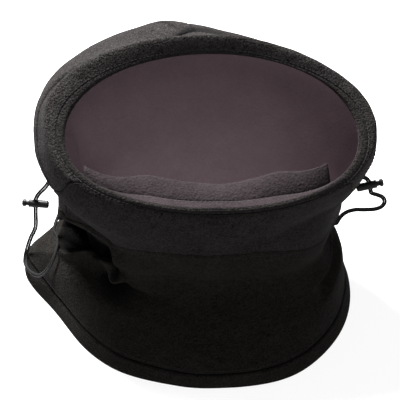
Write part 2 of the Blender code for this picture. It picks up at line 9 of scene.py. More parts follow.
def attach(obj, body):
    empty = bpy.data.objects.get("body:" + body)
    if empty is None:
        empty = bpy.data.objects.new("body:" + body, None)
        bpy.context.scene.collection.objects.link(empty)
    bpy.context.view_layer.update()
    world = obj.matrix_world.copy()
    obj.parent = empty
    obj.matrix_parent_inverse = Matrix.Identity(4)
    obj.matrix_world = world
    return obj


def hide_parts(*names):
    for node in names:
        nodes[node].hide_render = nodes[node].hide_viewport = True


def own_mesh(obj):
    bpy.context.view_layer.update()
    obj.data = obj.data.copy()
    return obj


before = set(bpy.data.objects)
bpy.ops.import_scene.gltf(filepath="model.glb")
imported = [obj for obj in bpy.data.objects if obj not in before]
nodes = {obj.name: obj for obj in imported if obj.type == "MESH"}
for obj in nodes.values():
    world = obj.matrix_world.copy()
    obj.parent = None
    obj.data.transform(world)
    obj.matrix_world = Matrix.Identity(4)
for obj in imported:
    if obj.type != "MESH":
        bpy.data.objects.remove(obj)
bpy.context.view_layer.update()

MM = 0.001
rng = np.random.default_rng(7)

# =============================================================== fabric shape
SHELL, LOFT, LINING = 2.0, 1.4, 2.0
DOUBLE = SHELL + LOFT + LINING
HEM_V, CHANNEL_V, CROWN_V, NAPE_V = 0.058, 0.955, 0.74, 0.41
BIB_SIDE, MASK_SIDE = 63.0, 72.0
LIP_DEPTH = 13.0
ORIGIN = np.array((-8.93, -6.11, 0.0))

# Loops round the object from the hem up to the face opening: height on the
# panel, middle x, left x, right x, widest y, front y, back y, twist, z at
# front, back, left and right, and the roundness of the four quarters.
LOOPS = (
    (0.00,  4, -151, 127,  18, -119, 104, -.07,   0,   0,   0,   0, (2.1, 2.2, 1.95, 1.72)),
    (0.06,  4, -142, 121,  16, -120, 101, -.07,  15,  16,  16,  16, (2.1, 2.2, 2.0, 1.72)),
    (0.16,  4, -129, 117,  12, -104,  96, -.06,  40,  45,  38,  40, (2.2, 2.2, 2.2, 1.8)),
    (0.24,  4, -118, 110,  10,  -87,  92, -.05,  60,  70,  52,  56, (2.3, 2.2, 2.2, 1.9)),
    (0.30,  4, -108, 104,   8,  -82,  90, -.04,  73,  88,  68,  67, (2.3, 2.2, 2.2, 2.0)),
    (0.36,  4, -113, 105,   4,  -86,  92, -.03,  84, 106,  84,  80, (2.3, 2.2, 2.2, 2.0)),
    (0.44,  5, -112, 109,   2,  -90, 104, -.02,  93, 138, 106, 100, (2.1, 2.2, 2.2, 1.9)),
    (0.54,  6, -117, 119,   0,  -92, 106, -.01, 101, 170, 128, 122, (1.9, 2.2, 2.6, 1.9)),
    (0.64,  7, -125, 131,  -4,  -92,  80,  .00, 106, 199, 148, 142, (1.85, 1.95, 2.7, 1.9)),
    (0.74,  8, -125, 133, -14,  -92,  31,  .00, 112, 217, 163, 156, (1.8, 2.1, 2.5, 2.0)),
    (0.82,  9, -122, 131, -26,  -93,  16,  .00, 122, 226, 172, 166, (1.85, 2.1, 2.3, 2.05)),
    (0.90, 10, -115, 128, -38,  -94,   4,  .00, 136, 229, 181, 176, (2.0, 2.1, 2.2, 2.1)),
    (0.96, 10, -104, 121, -44,  -92,   0,  .00, 144, 223, 182, 178, (2.1, 2.1, 2.1, 2.1)),
    (1.00, 10,  -98, 115, -46,  -90,   0,  .00, 145, 218, 178, 176, (2.1, 2.1, 2.1, 2.1)),
)

# Slouches, folds and bulges: direction in degrees, height on the panel, the
# spread of each, and the shift in millimetres.
FOLDS = (
    (218, .65, 26, .09, (-4, 3, 1)),
    (186, .66, 30, .10, (-15, 0, 0)),
    (192, .62, 16, .08, (-4, 0, 5)),
    (150, .64, 24, .09, (0, 0, -4)),
    (50, .70, 20, .13, (-9, 3, 0)),
    (291, .00, 12, .10, (6, 1, 0)),
    (306, .00, 15, .12, (4, 3, 0)),
    (333, .00, 13, .12, (-4, -4, 0)),
    (276, .20, 22, .05, (-4, 0, -3)),
    (82, .28, 16, .05, (-5, 0, 0)),
    # lips and curled end of the fold at the left of the neck
    (308, .345, 18, .05, (-3, -4, -8)),
    (316, .27, 18, .05, (0, 0, -8)),
    (315, .288, 5, .022, (-3, -6, 0)),
    # soft crease at the left of the front
    (314.5, .296, 6.0, .024, (-3, -7, 1)),
    (322, .235, 12, .018, (3, 6, 0)),
    (262, .19, 20, .055, (9, 3, -6)),
    # slack of the crown, the brim and the skirt
    (196, .69, 30, .06, (0, 0, 5)),
    (172, .69, 18, .06, (0, 0, 5)),
    (150, .70, 14, .06, (0, 0, 3)),
    (122, .895, 22, .06, (-2, 0, -2)),
    (252, .72, 14, .10, (-5.5, 0, 1)),
    (272, .83, 14, .10, (5, 0, 0)),
    (268, .17, 12, .05, (10, 0, 0)),
    (269, .055, 8, .04, (-7, 0, 1.0)),
    (316, .00, 12, .08, (-3, -1.5, 0)),
    (28, .00, 14, .08, (1.5, -2, 0)),
    (350, .00, 14, .08, (0, -2, 0)),
    (88, .41, 12, .05, (6, 0, -5)),
    # puffed brim and the valley on its inner side
    (180, .890, 400, .034, (0, 0, 4.5)),
    (180, .965, 400, .028, (0, 0, -1.5)),
)


# Narrow creases: points (direction, height) along each, its half width and
# depth in millimetres, and how much light it loses at each point.
CREASES = (
    # gap under the end of the left fold's upper lip
    (((308, .372), (311.0, .358), (313.4, .338), (315.0, .312)), 2.4, 3.0, (.9, .95, .95, .8)),
    # round the curl below it, easing out across the front
    (((305.5, .280), (309, .250), (313.5, .222), (318, .206), (323, .199), (329, .202), (337, .210)),
     4.2, 3.0, (.0, .75, .85, .75, .55, .25, .0)),
    # the sewn valley between crown and brim
    (((272, .765), (260, .78), (255.5, .79), (250, .817), (244, .838), (238.5, .845),
      (226, .80), (213.5, .745), (193, .72), (178, .70), (163.5, .69), (150, .70)),
     1.7, 1.6, (.3, .7, .85, .85, .85, .85, .85, .85, .85, .8, .6, .2)),
    # end of the crown's middle seam
    (((199, .667), (195, .680), (191.5, .700)), 2.0, 0.8, (.5, .7, .5)),
)


def smooth(t):
    t = np.clip(t, 0, 1)
    return t * t * (3 - 2 * t)


def creased(angle, height):
    """Depth in millimetres and lost light of the narrow creases."""
    angle = np.mod(angle, 360.0)
    deep, lost = np.zeros(np.shape(angle)), np.zeros(np.shape(angle))
    for line, wide, depth, shade in CREASES:
        best = np.full(np.shape(angle), 1e9)
        dark = np.zeros(np.shape(angle))
        for (a0, h0), (a1, h1), s0, s1 in zip(line[:-1], line[1:], shade[:-1], shade[1:]):
            px, py = (angle - a0) * 1.8, (height - h0) * 200.0
            dx, dy = (a1 - a0) * 1.8, (h1 - h0) * 200.0
            u = np.clip((px * dx + py * dy) / (dx * dx + dy * dy), 0, 1)
            away = np.hypot(px - u * dx, py - u * dy)
            dark = np.where(away < best, s0 + (s1 - s0) * u, dark)
            best = np.minimum(best, away)
        near = np.exp(-(best / wide) ** 2)
        deep = deep + depth * near * np.minimum(dark / .6, 1)
        lost = np.maximum(lost, dark * near)
    return deep, lost


def hollow(angle, height):
    """1 deep inside the left fold, 0 on the open surface: where painted shade darkens the fold."""
    angle = np.mod(angle, 360.0)
    t = np.clip((angle - 261.0) / (319.0 - 261.0), 0, 1)
    upper = np.interp(t, (0, .15, .4, .6, .78, .9, 1), (.325, .36, .392, .398, .390, .372, .350))
    lower = np.interp(t, (0, .15, .4, .5, .6, .7, .8, .9, 1),
                      (.270, .240, .236, .252, .292, .332, .352, .350, .335))
    ends = smooth((angle - 252.0) / 8.0) * smooth((1 - t) / .05)
    return ends * (1 - smooth((height - upper + .012) / .010)) * smooth((height - lower + .004) / .011)


def pockets(angle, height, out, lined):
    """The two places where the slouching neck folds over itself.  The lining
    behind them lies further in, without the sharp lips."""
    angle = np.mod(angle, 360.0)
    grow = 1.25 if lined else 1.0
    soft = 1.4 if lined else 1.0
    # left: upper and lower lip of the fold along its length
    t = np.clip((angle - 261.0) / (319.0 - 261.0), 0, 1)
    upper = np.interp(t, (0, .15, .4, .6, .78, .9, 1), (.325, .36, .392, .398, .390, .372, .350))
    lower = np.interp(t, (0, .15, .4, .5, .6, .7, .8, .9, 1),
                      (.270, .240, .236, .252, .292, .332, .352, .350, .335))
    if lined:
        upper, lower = upper + .035, lower - .02
    ends = smooth(t / .26) * np.interp(t, (0, .70, .84, .95, 1), (1, 1, .55, .40, 0))
    if lined:
        along = (angle - 261.0) / (319.0 - 261.0)
        ends = smooth(along / .2) * smooth((1.06 - along) / .16)
    soft_up = np.interp(t, (0, .7, .85, 1), (.020, .018, .010, .009)) * soft
    inside = ((1 - smooth((height - upper + soft_up) / soft_up))
              * smooth((height - lower + .02 * (soft - 1)) / (soft_up * .8)))
    inward = np.stack([np.interp(t, (0, .3, .6, 1), (.75, .45, .25, .2)),
                       np.interp(t, (0, .3, .6, 1), (.45, .75, .80, .82)),
                       np.full(t.shape, -.55)], -1)
    out = out + (36.0 * grow * ends * inside)[..., None] * inward
    # the skirt under the fold stands back from the panel that hangs over it
    along = (angle - 261.0) / (319.0 - 261.0)
    back = smooth((along - .45) / .3) * np.exp(-(np.maximum(along - .97, 0) / .10) ** 2)
    under = smooth((height - .17) / .07) * (1 - smooth((height - lower - .004) / .012))
    out = out + (8.0 * back * under)[..., None] * np.array((.75, .6, 0))
    if lined:
        rise = np.interp(t, (0, .25, .4, .55, .67, .76, .84, .91, .97, 1),
                         (0, 0, 4, 9, 13, 14, 14, 11, 6, 3))
        rise = rise * smooth((angle - 246.0) / 13.0) * smooth((330.0 - angle) / 10.0)
        rise = (rise * smooth((height - .365) / .05)
                * np.exp(-(np.maximum(height - .39, 0) / .085) ** 2))
        out = out + rise[..., None] * np.array((0, 0, 1.0))
        clear = (smooth((along + .25) / .3) * smooth((1.25 - along) / .25)
                 * smooth((height - .13) / .08) * smooth((.62 - height) / .14))
        out = out + (13.0 * clear)[..., None] * np.array((.6, .75, 0))
    else:
        lift = np.interp(t, (0, .16, .25, .4, .55, .67, .76, .84, .91, .97, 1),
                         (-13, -14, -10, 4, 9, 13, 14, 14, 11, 6, 3))
        lift = lift * smooth((angle - 246.0) / 13.0) * smooth((325.0 - angle) / 6.0)
        span = np.where(height > upper, .075, .016)
        lip = np.exp(-((height - upper) / span) ** 2)
        bulge = smooth(t / .3) * smooth((1 - t) / .15)
        out = out + (lip * lift)[..., None] * np.array((0, 0, 1.0))
        over = np.interp(t, (0, .5, .62, .8, .95, 1), (-2.5, -2.0, 4.0, 7.0, 7.0, 0.0))
        out = out + (lip * bulge)[..., None] * np.stack([over, np.full(t.shape, -3.0),
                                                         np.zeros(t.shape)], -1)
        crest = np.exp(-((height - lower + .006) / .014) ** 2) * smooth(t / .26) * smooth((.8 - t) / .2)
        out = out + crest[..., None] * np.array((-1.5, -1.0, 3.0))
    # right: the shallow pleat that runs down towards the front
    t = np.clip((angle - 46.0) / (96.0 - 46.0), 0, 1)
    upper = np.interp(t, (0, .3, .6, 1), (.215, .245, .245, .25))
    deep = 8.0 * grow * smooth(t / .35) * smooth((1 - t) / .25)
    inside = ((1 - smooth((height - upper + .02 * soft) / (.022 * soft)))
              * smooth((height - upper + .075) / .03))
    out = out + (deep * inside)[..., None] * np.array((-.93, .25, 0))
    if lined:
        return out
    lip = np.exp(-((height - upper - .008) / .018) ** 2) * smooth(t / .3) * smooth((1 - t) / .2)
    return out + lip[..., None] * np.array((2.2, -1.2, -3.0))
HEIGHTS = np.array([row[0] for row in LOOPS])


def loop_points(row, angle):
    _, xm, xl, xr, ys, yf, yb, twist, zf, zb, zl, zr, round_ = row
    s, c = np.sin(angle), np.cos(angle)
    a = np.where(s >= 0, xr - xm, xm - xl)
    b = np.where(c >= 0, ys - yf, yb - ys)
    # the roundness eases from quarter to quarter, so no crease shows there
    right, front = 0.5 + 0.5 * np.clip(s * 6, -1, 1), 0.5 + 0.5 * np.clip(c * 6, -1, 1)
    q = (right * (front * round_[0] + (1 - front) * round_[1])
         + (1 - right) * (front * round_[3] + (1 - front) * round_[2]))
    r = ((np.abs(s) / a) ** q + (np.abs(c) / b) ** q) ** (-1 / q)
    x, y = xm + r * s, ys - r * c
    plane = zf + (zb - zf) * (y - yf) / (yb - yf)
    at_side = zf + (zb - zf) * (ys - yf) / (yb - yf)
    side = np.clip(np.abs(x - xm) / a, 0, 1) ** 2
    z = plane + side * (np.where(s >= 0, zr, zl) - at_side)
    return np.stack([x, y + twist * (x - xm), z], -1)


def turned(angle, at):
    return (angle - at + 180) % 360 - 180


def soft_waves(p):
    """Slow unevenness of a soft fabric, in millimetres along the normal."""
    x, y, z = p[..., 0], p[..., 1], p[..., 2]
    w = (np.sin(x / 17.0 + 0.7 * np.sin(z / 23.0) + 1.3)
         * np.sin(z / 21.0 + 0.6 * np.sin(y / 19.0) + 0.4)
         + 0.6 * np.sin(x / 9.1 + z / 11.7 + 1.9) * np.sin(y / 10.3 - z / 14.1 + 0.5)
         + 0.35 * np.sin(x / 5.3 - z / 6.1 + 0.3) * np.sin(y / 5.9 + z / 5.1 + 2.2))
    return w


def surface(angle, height, lined=False):
    angle, height = np.broadcast_arrays(np.asarray(angle, float), np.asarray(height, float))
    rad = np.radians(angle)
    rings = np.array([loop_points(row, rad) for row in LOOPS])
    slope = np.zeros_like(rings)
    n = len(HEIGHTS)
    for i in range(n):
        lo, hi = max(i - 1, 0), min(i + 1, n - 1)
        if lo == i or hi == i:
            slope[i] = (rings[hi] - rings[lo]) / (HEIGHTS[hi] - HEIGHTS[lo])
        else:
            h0, h1 = HEIGHTS[i] - HEIGHTS[lo], HEIGHTS[hi] - HEIGHTS[i]
            slope[i] = ((rings[i] - rings[lo]) / h0 * h1
                        + (rings[hi] - rings[i]) / h1 * h0) / (h0 + h1)
    k = np.clip(np.searchsorted(HEIGHTS, height, "right") - 1, 0, n - 2)
    span = HEIGHTS[k + 1] - HEIGHTS[k]
    u = ((height - HEIGHTS[k]) / span)[..., None]
    h = span[..., None]

    def pick(table, index):
        return np.take_along_axis(table, index[None, ..., None], 0)[0]

    p0, p1, m0, m1 = pick(rings, k), pick(rings, k + 1), pick(slope, k), pick(slope, k + 1)
    out = ((2 * u ** 3 - 3 * u ** 2 + 1) * p0 + (u ** 3 - 2 * u ** 2 + u) * h * m0
           + (3 * u ** 2 - 2 * u ** 3) * p1 + (u ** 3 - u ** 2) * h * m1)
    for at, up, wide, tall, shift in FOLDS:
        w = np.exp(-(turned(angle, at) / wide) ** 2 - ((height - up) / tall) ** 2)
        out = out + w[..., None] * np.array(shift, float)
    turn = np.mod(angle, 360.0)
    over_top = smooth((turn - 80) / 30.0) * smooth((280 - turn) / 30.0)
    valley = np.exp(-((height - crown_seam(angle)) / .020) ** 2) * over_top
    out[..., 2] = out[..., 2] - 2.5 * valley
    out = pockets(angle, height, out, lined)
    if not lined:
        out = out - creased(angle, height)[0][..., None] * np.stack([np.sin(rad), -np.cos(rad), 0 * rad], -1)
    out[..., 2] = np.where(height <= 1e-9, 0.0, out[..., 2])
    return out


def frame_at(angle, height, lined=False):
    along = surface(angle + 0.4, height, lined) - surface(angle - 0.4, height, lined)
    hi = np.minimum(height + 0.003, 1.0)
    lo = np.maximum(height - 0.003, 0.0)
    up = (surface(angle, hi, lined) - surface(angle, lo, lined)) / (hi - lo)[..., None]
    normal = np.cross(along, up)
    normal /= np.linalg.norm(normal, axis=-1, keepdims=True)
    return normal, np.linalg.norm(along, axis=-1) / 0.8, np.linalg.norm(up, axis=-1)


def ramp(x, lo, hi):
    t = np.clip((np.asarray(x, float) - lo) / (hi - lo), 0, 1)
    return t * t * (3 - 2 * t)


def chin_seam(angle):
    turn = np.abs(turned(np.asarray(angle, float), 0))
    return 0.62 - 0.21 * ramp(turn, 5, 62)


def crown_seam(angle):
    at = np.mod(np.asarray(angle, float), 360.0)
    return np.interp(at, (72, 120, 140, 163, 180, 193, 203, 213, 225, 238, 250, 260, 270, 288),
                     (.74, .74, .72, .70, .71, .72, .730, .750, .795, .835, .815, .785, .76, .74))


def mask_foot(angle):
    turn = np.abs(turned(np.asarray(angle, float), 0))
    return np.where(turn <= BIB_SIDE, chin_seam(angle), NAPE_V)


def level(value):
    return lambda angle: np.full(np.shape(angle), float(value))


def lip_reach(angle):
    turn = np.abs(turned(np.asarray(angle, float), 0))
    return (LIP_DEPTH - DOUBLE - 1.0) * (1 - ramp(turn, 45, 85))


# ===================================================================== pieces
def to_scene(points):
    return (np.asarray(points, float) - ORIGIN) * MM


def new_object(name, verts_mm, faces, mat, smooth=True):
    mesh = bpy.data.meshes.new(name)
    v = to_scene(verts_mm)
    mesh.from_pydata([tuple(p) for p in v.tolist()], [], faces)
    mesh.update()
    if smooth:
        mesh.polygons.foreach_set("use_smooth", [True] * len(mesh.polygons))
    obj = bpy.data.objects.new(name, mesh)
    bpy.context.scene.collection.objects.link(obj)
    if mat is not None:
        mesh.materials.append(mat)
    return obj


def grid_faces(rows, cols, closed, base=0, flip=False):
    i = np.arange(cols if closed else cols - 1)
    j = np.arange(rows - 1)
    jj, ii = np.meshgrid(j, i, indexing="ij")
    n = (ii + 1) % cols
    quad = np.stack([jj * cols + ii, jj * cols + n, (jj + 1) * cols + n, (jj + 1) * cols + ii], -1)
    quad = quad.reshape(-1, 4) + base
    return quad[:, ::-1] if flip else quad


def solid_between(name, outer, inner, closed, mat):
    rows, cols = outer.shape[:2]
    base = rows * cols
    verts = np.concatenate([outer.reshape(-1, 3), inner.reshape(-1, 3)])
    faces = [grid_faces(rows, cols, closed), grid_faces(rows, cols, closed, base, True)]
    i = np.arange(cols if closed else cols - 1)
    n = (i + 1) % cols
    faces.append(np.stack([n, i, base + i, base + n], -1))
    top = (rows - 1) * cols
    faces.append(np.stack([top + i, top + n, base + top + n, base + top + i], -1))
    if not closed:
        j = np.arange(rows - 1)
        a, b = j * cols, (j + 1) * cols
        faces.append(np.stack([a, b, base + b, base + a], -1))
        a, b = a + cols - 1, b + cols - 1
        faces.append(np.stack([b, a, base + a, base + b], -1))
    return new_object(name, verts, np.concatenate(faces).tolist(), mat)


def seam_dip(distance, depth=1.15, width=2.2):
    """How far fabric turns in towards a seam that is this far away."""
    t = np.clip(1 - distance / width, 0, 1)
    return depth * t ** 2


EDGE_STEPS = np.array([0.0, 0.35, 0.8, 1.4, 2.2, 3.2])


def spread(length, step, close_ends=(True, True)):
    """Positions from 0 to length, closer together near its seams."""
    pieces = [np.array([0.0, length])]
    if close_ends[0]:
        pieces.append(EDGE_STEPS)
    if close_ends[1]:
        pieces.append(length - EDGE_STEPS)
    inner = np.linspace(0, length, max(int(length / step), 2) + 1)
    inner = inner[(inner > (3.9 if close_ends[0] else 0.1))
                  & (inner < length - (3.9 if close_ends[1] else 0.1))]
    t = np.unique(np.round(np.concatenate(pieces + [inner]), 4))
    return t / length


CUT = {}


def cut_size(grid, closed):
    """Width, length and area of a panel's outer face, in metres."""
    ring = np.concatenate([grid, grid[:, :1]], 1) if closed else grid
    wide = float(np.linalg.norm(np.diff(ring, axis=1), axis=-1).sum(1).max())
    long_ = float(np.linalg.norm(np.diff(ring, axis=0), axis=-1).sum(0).max())
    a, b = ring[1:, :-1] - ring[:-1, :-1], ring[:-1, 1:] - ring[:-1, :-1]
    c, d = ring[1:, :-1] - ring[1:, 1:], ring[:-1, 1:] - ring[1:, 1:]
    area = 0.5 * float(np.linalg.norm(np.cross(a, b), axis=-1).sum()
                       + np.linalg.norm(np.cross(c, d), axis=-1).sum())
    return wide * MM, long_ * MM, area * MM * MM


def fabric(name, start, stop, low, high, depth_out, depth_in, mat, gap=0.16,
           seams=(1, 1, 1, 1), waves=0.45, step=1.9, extra=None, lined=False, dips=(1, 1, 1, 1)):
    """A panel of fleece.  seams says which of its bottom, top, start and stop
    edges are sewn down."""
    closed = stop - start >= 359.9
    mid_v = 0.5 * (np.mean(low(np.array([start, stop]))) + np.mean(high(np.array([start, stop]))))
    probe = np.linspace(start, stop, 60)
    _, per_degree, _ = frame_at(probe, np.full(60, mid_v))
    length_u = float(np.trapz(per_degree, probe))
    if closed:
        cols = start + np.arange(int(length_u / step)) * 360.0 / int(length_u / step)
    else:
        share = spread(length_u, step, (seams[2], seams[3]))
        run = np.concatenate([[0], np.cumsum(0.5 * (per_degree[1:] + per_degree[:-1])
                                             * np.diff(probe))])
        cols = np.interp(share * length_u, run, probe)
        cols[0] += gap / 2 / per_degree[0]
        cols[-1] -= gap / 2 / per_degree[-1]
    v0, v1 = low(cols), high(cols)
    centre = len(cols) // 2
    probe_v = np.linspace(v0[centre], v1[centre], 40)
    _, _, per_v = frame_at(np.full(40, cols[centre]), probe_v)
    length_v = float(np.trapz(per_v, probe_v))
    if seams[0]:
        v0 = v0 + gap / 2 / frame_at(cols, v0)[2]
    if seams[1]:
        v1 = v1 - gap / 2 / frame_at(cols, v1)[2]
    t = spread(length_v, step, (seams[0], seams[1]))[:, None]
    v = v0[None] + (v1 - v0)[None] * t
    a = np.broadcast_to(cols[None], v.shape)
    base = surface(a, v, lined)
    normal, per_a, per_h = frame_at(a, v, lined)
    dip = np.zeros(v.shape)
    if seams[0]:
        dip = np.maximum(dip, dips[0] * seam_dip((v - v0[None]) * per_h))
    if seams[1]:
        dip = np.maximum(dip, dips[1] * seam_dip((v1[None] - v) * per_h))
    if not closed:
        if seams[2]:
            dip = np.maximum(dip, dips[2] * seam_dip((a - cols[0]) * per_a))
        if seams[3]:
            dip = np.maximum(dip, dips[3] * seam_dip((cols[-1] - a) * per_a))
    pucker = 1 + 0.22 * np.sin(base[..., 0] / 1.35 + base[..., 1] / 1.1 + base[..., 2] / 1.6)
    depth = (depth_out(a, v) if callable(depth_out) else depth_out) + dip * pucker
    depth = depth - waves * soft_waves(base) * ramp(v, 0.0, 0.05)
    if extra is not None:
        depth = depth + extra(a, v, base)
    inner_depth = (depth_in(a, v) if callable(depth_in) else depth_in) + 0.6 * dip
    inner_depth = inner_depth - waves * soft_waves(base) * ramp(v, 0.0, 0.05)
    outer = base - normal * depth[..., None]
    inner = base - normal * inner_depth[..., None]
    floor_row = v <= 1e-9
    for sheet in (outer, inner):
        sheet[..., 2] = np.where(floor_row, 0.0, np.maximum(sheet[..., 2], 0.05))
    obj = solid_between(name, outer, inner, closed, mat)
    # painted shade: darkness painted inside the left fold, in the creases and along the seams, kept in lost_light
    shade = np.clip(np.maximum(hollow(a, v) * 0.93, creased(a, v)[1]) + 0.8 * dip / 1.15, 0, 0.95)
    CUT[obj.name] = cut_size(outer, closed)
    lost = obj.data.attributes.new("lost_light", "FLOAT", "POINT")
    lost.data.foreach_set("value", np.concatenate([shade.ravel(), shade.ravel()])
                          .astype(np.float32))
    return obj


# ================================================================== materials
def node(tree, kind, **sets):
    n = tree.nodes.new(kind)
    for key, value in sets.items():
        if key in n.inputs:
            n.inputs[key].default_value = value
        else:
            setattr(n, key, value)
    return n


def set_input(n, name, value):
    if name in n.inputs:
        n.inputs[name].default_value = value


def fleece(name, light, dark, nap=0.0011, bump=0.5, sheen=0.35, lumps=0.35, sheen_tint=None,
           spread_of=(0.30, 0.80)):
    """Brushed fleece: mottled fibre colour, a fine curly nap, soft pile sheen."""
    mat = bpy.data.materials.new(name)
    mat.use_nodes = True
    tree = mat.node_tree
    shader = tree.nodes["Principled BSDF"]
    shader.inputs["Roughness"].default_value = 0.9
    set_input(shader, "Specular IOR Level", 0.012)
    set_input(shader, "Sheen Weight", sheen)
    set_input(shader, "Sheen Roughness", 0.45)
    set_input(shader, "Sheen Tint", (*(sheen_tint or light), 1.0))
    link = tree.links.new
    where = node(tree, "ShaderNodeTexCoord")
    fine = node(tree, "ShaderNodeTexNoise", Scale=1.0 / nap, Detail=4.0, Roughness=0.65)
    link(where.outputs["Object"], fine.inputs["Vector"])
    curls = node(tree, "ShaderNodeTexVoronoi", Scale=0.75 / nap, Randomness=1.0)
    curls.feature = "SMOOTH_F1"
    set_input(curls, "Smoothness", 0.6)
    link(where.outputs["Object"], curls.inputs["Vector"])
    broad = node(tree, "ShaderNodeTexNoise", Scale=42.0, Detail=3.0, Roughness=0.55)
    link(where.outputs["Object"], broad.inputs["Vector"])
    mid = node(tree, "ShaderNodeTexNoise", Scale=260.0, Detail=2.0, Roughness=0.5)
    link(where.outputs["Object"], mid.inputs["Vector"])
    mix = node(tree, "ShaderNodeMath")
    mix.operation = "MULTIPLY_ADD"
    link(fine.outputs["Fac"], mix.inputs[0])
    mix.inputs[1].default_value = 0.62
    other = node(tree, "ShaderNodeMath")
    other.operation = "MULTIPLY"
    link(broad.outputs["Fac"], other.inputs[0])
    other.inputs[1].default_value = lumps
    link(other.outputs[0], mix.inputs[2])
    add = node(tree, "ShaderNodeMath")
    add.operation = "MULTIPLY_ADD"
    link(mid.outputs["Fac"], add.inputs[0])
    add.inputs[1].default_value = 0.12
    link(mix.outputs[0], add.inputs[2])
    tones = node(tree, "ShaderNodeValToRGB")
    tones.color_ramp.elements[0].position = spread_of[0]
    tones.color_ramp.elements[0].color = (*dark, 1.0)
    tones.color_ramp.elements[1].position = spread_of[1]
    tones.color_ramp.elements[1].color = (*light, 1.0)
    link(add.outputs[0], tones.inputs["Fac"])
    # painted shade: the colour is darkened where pile lies deep in a fold or a seam and gets no light
    lost = node(tree, "ShaderNodeAttribute", attribute_name="lost_light")
    keep = node(tree, "ShaderNodeMath")
    keep.operation = "SUBTRACT"
    keep.inputs[0].default_value = 1.0
    link(lost.outputs["Fac"], keep.inputs[1])
    darker = node(tree, "ShaderNodeMix")
    darker.data_type = "RGBA"
    darker.inputs[6].default_value = (0.0008, 0.0008, 0.0008, 1.0)
    link(keep.outputs[0], darker.inputs[0])
    link(tones.outputs["Color"], darker.inputs[7])
    link(darker.outputs[2], shader.inputs["Base Color"])
    height = node(tree, "ShaderNodeMath")
    height.operation = "MULTIPLY_ADD"
    link(curls.outputs["Distance"], height.inputs[0])
    height.inputs[1].default_value = -0.8
    link(fine.outputs["Fac"], height.inputs[2])
    rough = node(tree, "ShaderNodeBump", Strength=bump, Distance=0.0007)
    link(height.outputs[0], rough.inputs["Height"])
    lumpy = node(tree, "ShaderNodeBump", Strength=0.35, Distance=0.0012)
    link(mid.outputs["Fac"], lumpy.inputs["Height"])
    link(lumpy.outputs["Normal"], rough.inputs["Normal"])
    link(rough.outputs["Normal"], shader.inputs["Normal"])
    return mat


def thread(name, colour):
    mat = bpy.data.materials.new(name)
    mat.use_nodes = True
    tree = mat.node_tree
    shader = tree.nodes["Principled BSDF"]
    shader.inputs["Roughness"].default_value = 0.8
    set_input(shader, "Specular IOR Level", 0.15)
    where = node(tree, "ShaderNodeTexCoord")
    twist = node(tree, "ShaderNodeTexNoise", Scale=2600.0, Detail=2.0)
    tree.links.new(where.outputs["Object"], twist.inputs["Vector"])
    tones = node(tree, "ShaderNodeValToRGB")
    tones.color_ramp.elements[0].color = (*[c * 0.55 for c in colour], 1.0)
    tones.color_ramp.elements[1].color = (*[min(c * 1.5, 1) for c in colour], 1.0)
    tree.links.new(twist.outputs["Fac"], tones.inputs["Fac"])
    tree.links.new(tones.outputs["Color"], shader.inputs["Base Color"])
    bump = node(tree, "ShaderNodeBump", Strength=0.5, Distance=0.0002)
    tree.links.new(twist.outputs["Fac"], bump.inputs["Height"])
    tree.links.new(bump.outputs["Normal"], shader.inputs["Normal"])
    return mat


def braid(name, light, dark):
    """Braided cover of an elastic cord, as fine cells and noise in the cord's own coordinates."""
    mat = bpy.data.materials.new(name)
    mat.use_nodes = True
    tree = mat.node_tree
    shader = tree.nodes["Principled BSDF"]
    shader.inputs["Roughness"].default_value = 0.7
    set_input(shader, "Specular IOR Level", 0.12)
    where = node(tree, "ShaderNodeTexCoord")
    link = tree.links.new
    cells = node(tree, "ShaderNodeTexVoronoi", Scale=1700.0, Randomness=0.35)
    link(where.outputs["Object"], cells.inputs["Vector"])
    noise = node(tree, "ShaderNodeTexNoise", Scale=900.0, Detail=2.0)
    link(where.outputs["Object"], noise.inputs["Vector"])
    both = node(tree, "ShaderNodeMath")
    both.operation = "MULTIPLY"
    link(cells.outputs["Distance"], both.inputs[0])
    link(noise.outputs["Fac"], both.inputs[1])
    tones = node(tree, "ShaderNodeValToRGB")
    tones.color_ramp.elements[0].position = 0.1
    tones.color_ramp.elements[0].color = (*light, 1.0)
    tones.color_ramp.elements[1].position = 0.5
    tones.color_ramp.elements[1].color = (*dark, 1.0)
    link(both.outputs[0], tones.inputs["Fac"])
    link(tones.outputs["Color"], shader.inputs["Base Color"])
    bump = node(tree, "ShaderNodeBump", Strength=0.7, Distance=0.0003)
    bump.invert = True
    link(cells.outputs["Distance"], bump.inputs["Height"])
    link(bump.outputs["Normal"], shader.inputs["Normal"])
    return mat


def moulded(name, colour, roughness=0.32):
    mat = bpy.data.materials.new(name)
    mat.use_nodes = True
    tree = mat.node_tree
    shader = tree.nodes["Principled BSDF"]
    set_input(shader, "Specular IOR Level", 0.12)
    link = tree.links.new
    where = node(tree, "ShaderNodeTexCoord")
    grain = node(tree, "ShaderNodeTexNoise", Scale=1500.0, Detail=3.0)
    link(where.outputs["Object"], grain.inputs["Vector"])
    wear = node(tree, "ShaderNodeTexNoise", Scale=320.0, Detail=4.0, Roughness=0.6)
    link(where.outputs["Object"], wear.inputs["Vector"])
    rough = node(tree, "ShaderNodeMapRange")
    rough.inputs["To Min"].default_value = roughness - 0.1
    rough.inputs["To Max"].default_value = roughness + 0.2
    link(wear.outputs["Fac"], rough.inputs["Value"])
    link(rough.outputs["Result"], shader.inputs["Roughness"])
    tones = node(tree, "ShaderNodeValToRGB")
    tones.color_ramp.elements[0].color = (*[c * 0.7 for c in colour], 1.0)
    tones.color_ramp.elements[1].color = (*[c * 1.6 for c in colour], 1.0)
    link(wear.outputs["Fac"], tones.inputs["Fac"])
    link(tones.outputs["Color"], shader.inputs["Base Color"])
    bump = node(tree, "ShaderNodeBump", Strength=0.25, Distance=0.00008)
    link(grain.outputs["Fac"], bump.inputs["Height"])
    link(bump.outputs["Normal"], shader.inputs["Normal"])
    return mat


